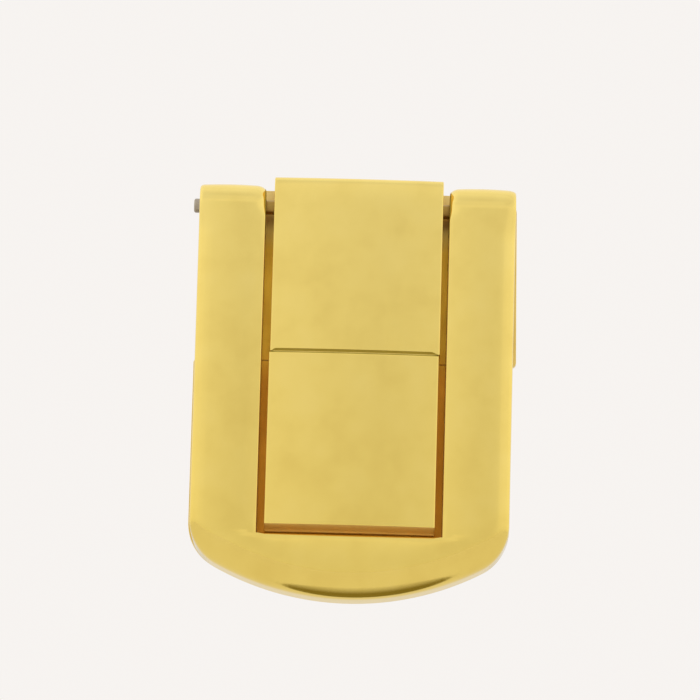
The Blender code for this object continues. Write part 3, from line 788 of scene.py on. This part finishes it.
def make_clip():
    """The two-pronged clip, a bent strip of spring sheet."""
    sheet = CLIP_SHEET
    half_width = CLIP_HIGH.x - sheet / 2 - CLIP_SIDE_ROOM
    right = clip_centreline(half_width, CLIP_HIGH.y - sheet / 2, CLIP_LOW.y)
    line = [(-x, y) for x, y in reversed(right[1:])] + right
    outer, inner = [], []
    for i, (x, y) in enumerate(line):
        before, after = line[max(0, i - 1)], line[min(len(line) - 1, i + 1)]
        along = Vector((after[0] - before[0], after[1] - before[1])).normalized()
        outer.append((x - along.y * sheet / 2, y + along.x * sheet / 2))
        inner.append((x + along.y * sheet / 2, y - along.x * sheet / 2))
    section = outer + inner[::-1]
    rings = [[(x, y, z) for x, y in section] for z in (CLIP_LOW.z, CLIP_HIGH.z)]
    made = finish_mesh("spring_clip_strip", loft(rings))
    centre = centre_of("clip_rivet")
    radius = CLIP_RIVET_RADIUS + HOLE_CLEARANCE
    hole = turned([(2 * CLIP_HIGH.y, radius), (0, radius)], (centre.x, centre.z), "Y", 32)
    combine(made, [finish_mesh("clip_hole", hole)], "DIFFERENCE")
    weigh_normals(made)
    return made


# ---------------------------------------------------------------- materials


def new_node(tree, kind, **settings):
    """A new node in a tree, with its settings."""
    node = tree.nodes.new(kind)
    for key, value in settings.items():
        setattr(node, key, value)
    return node


def noise(tree, coordinates, scale, detail, stretch=(1, 1, 1)):
    """Noise in the object's own coordinates, in features per metre, stretched along its axes."""
    mapping = new_node(tree, "ShaderNodeMapping")
    mapping.inputs["Scale"].default_value = stretch
    texture = new_node(tree, "ShaderNodeTexNoise")
    texture.inputs["Scale"].default_value = scale
    texture.inputs["Detail"].default_value = detail
    tree.links.new(coordinates, mapping.inputs["Vector"])
    tree.links.new(mapping.outputs["Vector"], texture.inputs["Vector"])
    return texture.outputs["Fac"]


def ramp(tree, factor, stops):
    """A colour ramp over a factor, from (position, colour) stops."""
    node = new_node(tree, "ShaderNodeValToRGB")
    elements = node.color_ramp.elements
    while len(elements) > 1:
        elements.remove(elements[-1])
    elements[0].position, elements[0].color = stops[0][0], (*stops[0][1], 1.0)
    for position, colour in stops[1:]:
        elements.new(position).color = (*colour, 1.0)
    tree.links.new(factor, node.inputs["Fac"])
    return node.outputs["Color"]


def spread(tree, factor, low, high, start=0.3, end=0.7):
    """Maps a factor to a range of values."""
    node = new_node(tree, "ShaderNodeMapRange")
    node.inputs["From Min"].default_value = start
    node.inputs["From Max"].default_value = end
    node.inputs["To Min"].default_value = low
    node.inputs["To Max"].default_value = high
    tree.links.new(factor, node.inputs["Value"])
    return node.outputs["Result"]


def calculated(tree, operation, first, second=None):
    """A sum, product or the like of a node's output and another output or a number."""
    node = new_node(tree, "ShaderNodeMath", operation=operation)
    tree.links.new(first, node.inputs[0])
    if isinstance(second, float):
        node.inputs[1].default_value = second
    elif second is not None:
        tree.links.new(second, node.inputs[1])
    return node.outputs[0]


def blended(tree, factor, first, second):
    """Mixes two colours by a factor."""
    node = new_node(tree, "ShaderNodeMix", data_type="RGBA")
    tree.links.new(factor, node.inputs["Factor"])
    tree.links.new(first, node.inputs["A"])
    tree.links.new(second, node.inputs["B"])
    return node.outputs["Result"]


def slit_light_share(tree, axes):
    """Where the painted light behind the slits goes: 1 on what lies behind the slits beside the blocks, and 0
    away from them, with a soft step between.
    """
    side = calculated(tree, "ABSOLUTE", axes.outputs["X"])
    distance = calculated(tree, "ABSOLUTE", calculated(tree, "SUBTRACT", side, SLIT_X))
    beside = spread(tree, distance, 1.0, 0.0, SLIT_REACH - 0.1 * MM, SLIT_REACH + 1.4 * MM)
    plate_front = BODY_PLATE_LOW.y
    facing = spread(tree, axes.outputs["Y"], 1.0, 0.0, plate_front + 0.2 * MM, plate_front + 0.4 * MM)
    above = spread(tree, axes.outputs["Z"], 0.0, 1.0, WINDOW_BOTTOM - MM, WINDOW_BOTTOM)
    return calculated(tree, "MULTIPLY", calculated(tree, "MULTIPLY", beside, facing), above)


def metal(name, colours, roughness, bump, grain, metallic=1.0, specular=0.5, painted_top_light=None, slit_painted_light=None):
    """A metal with cloudy colour, uneven gloss, fine grain lines and the light wear of handling.

    colours is (dull, usual, bright); roughness is (low, high); bump is the heights of (waviness, grain) in
    metres; grain is the grain's stretch along X, Y and Z. upper is the lighter colours that it turns to at
    the catch's top: painted light there. slit is (height, colour) stops from below for what lies behind the
    slits: a painted warm reflection and shade there.
    """
    material = bpy.data.materials.new(name)
    material.use_nodes = True
    tree = material.node_tree
    shader = tree.nodes["Principled BSDF"]
    shader.inputs["Metallic"].default_value = metallic
    shader.inputs["Specular IOR Level"].default_value = specular
    place = new_node(tree, "ShaderNodeTexCoord").outputs["Object"]
    clouds = noise(tree, place, 260.0, 3.0)
    colour = ramp(tree, clouds, list(zip(CLOUD_STOPS, colours)))
    if painted_top_light or slit_painted_light:
        axes = new_node(tree, "ShaderNodeSeparateXYZ")
        tree.links.new(place, axes.inputs[0])
        height = spread(tree, axes.outputs["Z"], 0.0, 1.0, LEVER_LOW.z, LID_BLOCK_HIGH.z)
    # painted light: lighter towards the catch's top
    if painted_top_light:
        colour = blended(tree, height, colour, ramp(tree, clouds, list(zip(CLOUD_STOPS, painted_top_light))))
    # painted warm reflection and shade on what lies behind the slits
    if slit_painted_light:
        tall = LID_BLOCK_HIGH.z - LEVER_LOW.z
        stops = [((z - LEVER_LOW.z) / tall, tint) for z, tint in slit_painted_light]
        colour = blended(tree, slit_light_share(tree, axes), colour, ramp(tree, height, stops))
    tree.links.new(colour, shader.inputs["Base Color"])
    smears = noise(tree, place, 700.0, 4.0, (1.0, 1.0, 0.35))
    scratches = noise(tree, place, 9000.0, 2.0, grain)
    gloss = spread(tree, smears, roughness[0], roughness[1])
    lines = spread(tree, scratches, 0.0, 0.04, 0.55, 0.75)
    tree.links.new(calculated(tree, "ADD", gloss, lines), shader.inputs["Roughness"])
    waviness = noise(tree, place, 180.0, 1.0)
    wave_bump = new_node(tree, "ShaderNodeBump")
    wave_bump.inputs["Strength"].default_value = 1.0
    wave_bump.inputs["Distance"].default_value = bump[0]
    tree.links.new(waviness, wave_bump.inputs["Height"])
    grain_bump = new_node(tree, "ShaderNodeBump")
    grain_bump.inputs["Strength"].default_value = 0.6
    grain_bump.inputs["Distance"].default_value = bump[1]
    tree.links.new(scratches, grain_bump.inputs["Height"])
    tree.links.new(wave_bump.outputs["Normal"], grain_bump.inputs["Normal"])
    tree.links.new(grain_bump.outputs["Normal"], shader.inputs["Normal"])
    return material


def make_materials():
    gold = ((0.845, 0.62, 0.14), (0.885, 0.66, 0.155), (0.91, 0.685, 0.175))
    # painted light: the polished brass turns to these lighter colours towards the catch's top
    gold_lit_above = ((0.87, 0.66, 0.18), (0.915, 0.705, 0.20), (0.935, 0.73, 0.22))
    satin = ((0.78, 0.56, 0.15), (0.84, 0.62, 0.18), (0.87, 0.65, 0.21))
    # painted warm bounce light: the colours of the unbuffed faces in the gaps, the pocket and under the body
    # block
    amber_bounce_light = ((0.91, 0.62, 0.15), (0.94, 0.66, 0.175), (0.96, 0.68, 0.20))
    # painted shade: the dark greenish-brown colours for the groove at the parting line and beside the pin
    olive_shade = ((0.43, 0.31, 0.038), (0.48, 0.35, 0.045), (0.53, 0.39, 0.055))
    duller = ((0.74, 0.53, 0.16), (0.80, 0.59, 0.20), (0.84, 0.63, 0.23))
    tarnished = ((0.24, 0.19, 0.13), (0.38, 0.32, 0.23), (0.50, 0.44, 0.34))
    bright_steel = ((0.48, 0.47, 0.45), (0.58, 0.57, 0.55), (0.66, 0.65, 0.63))
    orange, yellow, pale = (0.80, 0.36, 0.035), (0.96, 0.60, 0.06), (0.80, 0.60, 0.22)
    # painted warm reflection and shade behind the slits: orange low by the parting line, paler up by the
    # hinge where the slits open to the light
    slit_light_stops = [(PARTING_Z - 2 * MM, orange), (PARTING_Z + 2 * MM, yellow)]
    slit_light_stops += [(HINGE.z - 4 * MM, yellow), (HINGE.z + MM, pale)]
    # painted reflection of the brass round the pin, and its shade, on the pin's shank in the slits
    pin_slit_reflection = [(LEVER_LOW.z, (0.42, 0.26, 0.06))]
    fine, rough, pitted = (0.004 * MM, 0.0004 * MM), (0.003 * MM, 0.001 * MM), (0.003 * MM, 0.002 * MM)
    machined, rolled = (0.002 * MM, 0.0012 * MM), (0.002 * MM, 0.001 * MM)
    even = (0.3, 0.3, 0.3)
    return {
        POLISHED: metal(POLISHED, gold, (0.09, 0.14), fine, (0.3, 0.3, 0.03), painted_top_light=gold_lit_above),
        UNBUFFED_BOUNCE_LIT: metal(UNBUFFED_BOUNCE_LIT, amber_bounce_light, (0.42, 0.52), rough, even, metallic=0.35),
        PAINTED_SHADE: metal(PAINTED_SHADE, olive_shade, (0.5, 0.6), rough, even, metallic=0.0, specular=0.1),
        PLATE_BRASS: metal(PLATE_BRASS, satin, (0.32, 0.42), rough, (0.02, 0.3, 0.3), slit_painted_light=slit_light_stops),
        SCREW_BRASS: metal(SCREW_BRASS, duller, (0.20, 0.32), machined, even),
        PIN_STEEL: metal(PIN_STEEL, tarnished, (0.28, 0.45), pitted, (0.03, 0.3, 0.3), slit_painted_light=pin_slit_reflection),
        SPRING_STEEL: metal(SPRING_STEEL, bright_steel, (0.22, 0.32), rolled, (0.3, 0.3, 0.05)),
    }


def paint(target, *materials, choose=None):
    """Gives an object its materials, one of which choose picks by number for each face."""
    target.data.materials.clear()
    for material in materials:
        target.data.materials.append(material)
    for polygon in target.data.polygons:
        polygon.material_index = choose(polygon) if choose else 0


# ---------------------------------------------------------------- set, light and camera


def make_floor():
    """The pale floor, far below the catch, as one wide sheet."""
    half = FLOOR_SIZE / 2
    sheet = bmesh.new()
    corners = [(-half, -half), (half, -half), (half, half), (-half, half)]
    sheet.faces.new([sheet.verts.new((x, y, FLOOR_Z)) for x, y in corners])
    floor = finish_mesh("studio_floor", sheet)
    material = bpy.data.materials.new("studio_floor")
    material.use_nodes = True
    shader = material.node_tree.nodes["Principled BSDF"]
    shader.inputs["Base Color"].default_value = (*FLOOR_COLOUR, 1.0)
    shader.inputs["Roughness"].default_value = 0.85
    paint(floor, material)


def make_flag():
    """A dark oval flag under the catch, which only its reflections show. Its front edge fades out."""
    centre, size, rings, segments = FLAG_CENTRE, FLAG_SIZE, 12, 64
    oval = bmesh.new()
    hub = oval.verts.new(centre)
    rows = []
    for ring in range(1, rings + 1):
        row = []
        for step in range(segments):
            angle, share = 2 * math.pi * step / segments, ring / rings
            x, y = size[0] * share * math.cos(angle), size[1] * share * math.sin(angle)
            row.append(oval.verts.new((centre.x + x, centre.y + y, centre.z)))
        rows.append(row)
    for step in range(segments):
        following = (step + 1) % segments
        oval.faces.new((hub, rows[0][step], rows[0][following]))
        for near, far in zip(rows, rows[1:]):
            oval.faces.new((near[step], far[step], far[following], near[following]))
    flag = finish_mesh("black_flag", oval)
    material = bpy.data.materials.new("black_flag")
    material.use_nodes = True
    tree = material.node_tree
    shader = tree.nodes["Principled BSDF"]
    shader.inputs["Base Color"].default_value = (*FLAG_COLOUR, 1.0)
    shader.inputs["Roughness"].default_value = 1.0
    axes = new_node(tree, "ShaderNodeSeparateXYZ")
    tree.links.new(new_node(tree, "ShaderNodeTexCoord").outputs["Object"], axes.inputs[0])
    front = centre.y - size[1]
    tree.links.new(spread(tree, axes.outputs["Y"], 0.0, 1.0, front, centre.y), shader.inputs["Alpha"])
    paint(flag, material)
    flag.visible_camera = False
    flag.visible_diffuse = False
    flag.visible_shadow = False


def glow(tree, direction, toward, reach_degrees, near, far):
    """A level that goes from near, straight towards a direction, to far at some angle away from it."""
    dot = new_node(tree, "ShaderNodeVectorMath", operation="DOT_PRODUCT")
    dot.inputs[1].default_value = Vector(toward).normalized()
    tree.links.new(direction, dot.inputs[0])
    angle = calculated(tree, "ARCCOSINE", dot.outputs["Value"])
    return spread(tree, angle, near, far, 0.0, math.radians(reach_degrees))


def make_world():
    """A white tent, dimmer towards its floor, behind the catch, straight in front and above that."""
    world = bpy.data.worlds.new("white_tent")
    bpy.context.scene.world = world
    world.use_nodes = True
    tree = world.node_tree
    tree.nodes.clear()
    direction = new_node(tree, "ShaderNodeTexCoord").outputs["Generated"]
    level = glow(tree, direction, *TENT_FRONT)
    for toward, reach, change in TENT_CHANGES:
        level = calculated(tree, "ADD", level, glow(tree, direction, toward, reach, change, 0.0))
    above = glow(tree, direction, *TENT_COOL_TOP, 1.0, 0.0)
    tent = new_node(tree, "ShaderNodeBackground")
    tree.links.new(ramp(tree, above, [(0.0, WARM_LOW), (1.0, COOL_HIGH)]), tent.inputs["Color"])
    tree.links.new(level, tent.inputs["Strength"])
    seen = new_node(tree, "ShaderNodeBackground")
    seen.inputs["Color"].default_value = (*BACKDROP_COLOUR, 1.0)
    mix = new_node(tree, "ShaderNodeMixShader")
    tree.links.new(new_node(tree, "ShaderNodeLightPath").outputs["Is Camera Ray"], mix.inputs["Fac"])
    tree.links.new(tent.outputs[0], mix.inputs[1])
    tree.links.new(seen.outputs[0], mix.inputs[2])
    output = new_node(tree, "ShaderNodeOutputWorld")
    tree.links.new(mix.outputs[0], output.inputs["Surface"])


def make_softbox(name, location, size, power):
    """A large soft lamp aimed at the catch, itself unseen."""
    lamp = bpy.data.lights.new(name, "AREA")
    lamp.shape = "RECTANGLE"
    lamp.size, lamp.size_y = size
    lamp.energy = power
    lamp.color = (1.0, 0.98, 0.95)
    holder = bpy.data.objects.new(name, lamp)
    bpy.context.scene.collection.objects.link(holder)
    holder.location = location
    holder.rotation_mode = "QUATERNION"
    holder.rotation_quaternion = (-Vector(location)).to_track_quat("-Z", "Y")
    holder.visible_camera = False


def make_camera():
    """The camera a little below the catch, rolled so that the catch leans slightly to the right."""
    data = bpy.data.cameras.new("camera")
    data.sensor_width = SENSOR
    data.lens = SENSOR * VIEW_DISTANCE / VIEW_WIDTH
    data.clip_start, data.clip_end = 0.01, 50.0
    camera = bpy.data.objects.new("camera", data)
    bpy.context.scene.collection.objects.link(camera)
    back = Vector((0.0, -math.cos(VIEW_ELEVATION), math.sin(VIEW_ELEVATION)))
    camera.location = VIEW_AIM + back * VIEW_DISTANCE
    camera.rotation_mode = "QUATERNION"
    upright = (-back).to_track_quat("-Z", "Y")
    camera.rotation_quaternion = upright @ Matrix.Rotation(VIEW_ROLL, 3, "Z").to_quaternion()
    bpy.context.scene.camera = camera


# ---------------------------------------------------------------- assembly


def place(piece, body, finish, materials, *nodes, choose=None):
    """Puts a piece on its body with its finish, standing for the CAD nodes named."""
    if choose:
        paint(piece, materials[finish], materials[UNBUFFED_BOUNCE_LIT], materials[PAINTED_SHADE], choose=choose)
    else:
        paint(piece, materials[finish])
    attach(piece, body)
    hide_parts(*nodes)


def build():
    materials = make_materials()
    place(make_lever(), DROP_LEVER, POLISHED, materials, "lever", choose=lever_finish_and_painted_light)
    place(make_stud(), DROP_LEVER, SPRING_STEEL, materials, "snap_stud")
    place(make_lid_block(), HALVES, POLISHED, materials, "lid_block", choose=block_finish_and_painted_light)
    place(make_body_block(), HALVES, POLISHED, materials, "body_block", choose=block_finish_and_painted_light)
    place(make_lid_plate(), HALVES, PLATE_BRASS, materials, "lid_plate")
    place(make_body_plate(), HALVES, PLATE_BRASS, materials, "body_plate")
    place(make_pin(), HALVES, PIN_STEEL, materials, "hinge_pin")
    place(make_clip(), HALVES, SPRING_STEEL, materials, "spring_clip")
    for screw, node in make_screws():
        place(screw, HALVES, SCREW_BRASS, materials, node)
    for node in frame["nodes"]:
        if "_rivet" in node:
            paint(frame["nodes"][node], materials[PLATE_BRASS])


build()
make_floor()
make_flag()
make_world()
make_softbox("top_softbox", SOFTBOX_PLACE, SOFTBOX_SIZE, SOFTBOX_POWER)
make_camera()
bpy.context.scene.view_settings.view_transform = "Standard"
